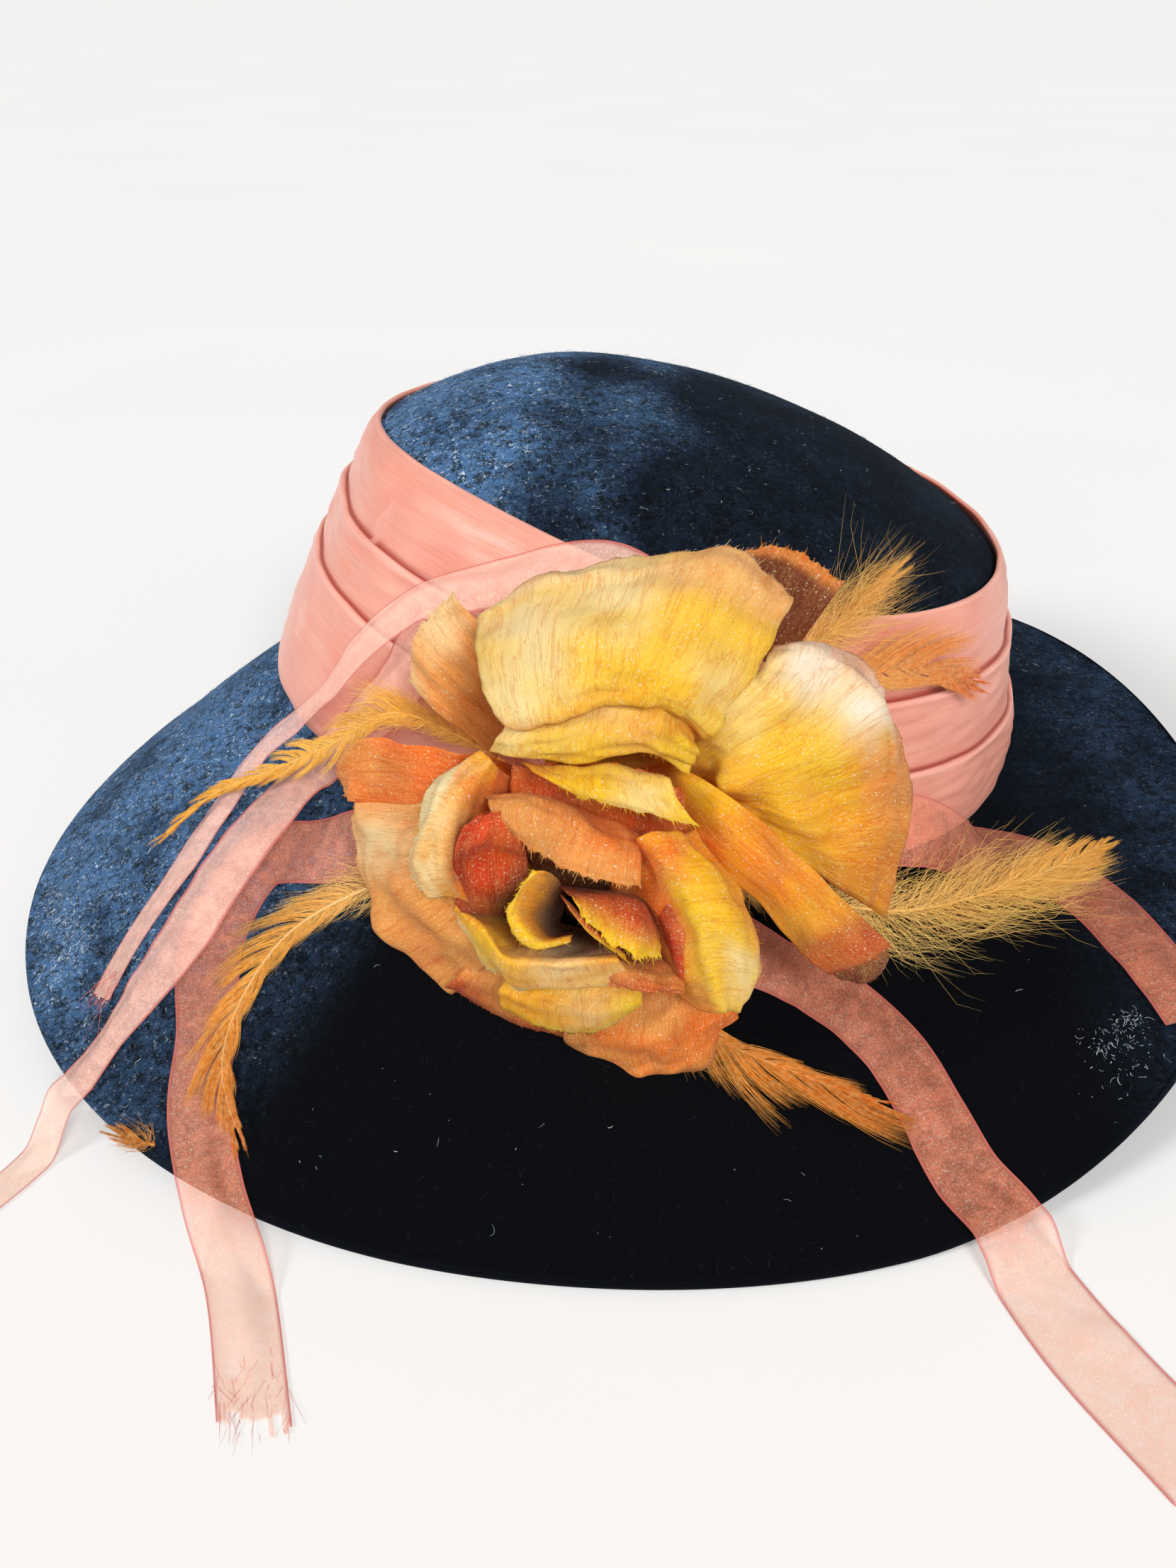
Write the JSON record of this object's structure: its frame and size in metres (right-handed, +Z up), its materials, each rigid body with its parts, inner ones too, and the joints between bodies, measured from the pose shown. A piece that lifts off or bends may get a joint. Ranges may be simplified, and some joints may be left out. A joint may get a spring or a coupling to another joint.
{
  "type": "wide-brimmed felt hat with a rose",
  "caption": "Wide-brimmed dark wool felt hat with a pleated pink satin band, a large yellow and orange silk rose, dyed feathers and trailing organza ribbons.",
  "frame": {"origin": "middle of the bottom of the bounding box, on the table that the hat rests on", "axes": "+Z up; the rose faces -Y; the wearer's forehead is towards -X"},
  "size_m": [0.32, 0.3524, 0.1269],
  "materials": {
    "felt": "matte wool felt, near black with a blue cast",
    "satin": "soft satin",
    "silk_yellow": "crinkled silk with a sheen",
    "silk_peach": "crinkled silk with a sheen",
    "silk_orange": "crinkled silk with a sheen",
    "silk_rust": "crinkled silk with a sheen",
    "organza": "sheer organza, pink",
    "hackle": "dyed hackle feather, yellow to orange"
  },
  "bodies": {
    "root": {"felt_body": "felt", "satin_band": "satin", "rose_pad": "silk_orange", "petal_back_top": "silk_rust", "petal_back_left": "silk_peach", "petal_right": "silk_yellow", "petal_left": "silk_peach", "petal_top": "silk_yellow", "petal_low_left": "silk_peach", "petal_flap": "silk_orange", "petal_low": "silk_rust", "petal_lip_left": "silk_peach", "petal_lip_top": "silk_yellow", "petal_lip_right": "silk_yellow", "petal_low_front": "silk_yellow", "petal_inner_left": "silk_rust", "petal_inner_right": "silk_orange", "petal_inner_top": "silk_orange", "petal_inner_low": "silk_yellow", "petal_bud_left": "silk_rust", "petal_bud_right": "silk_orange", "ribbon_loop": "organza", "ribbon_tail_front": "organza", "ribbon_tail_near": "organza", "ribbon_tail_back": "organza", "ribbon_tail_right": "organza", "feather_upper_right": "hackle", "feather_over_band": "hackle", "feather_back": "hackle", "feather_near_right": "hackle", "feather_near_left": "hackle", "feather_front": "hackle", "feather_tip": "hackle"}
  },
  "joints": []
}
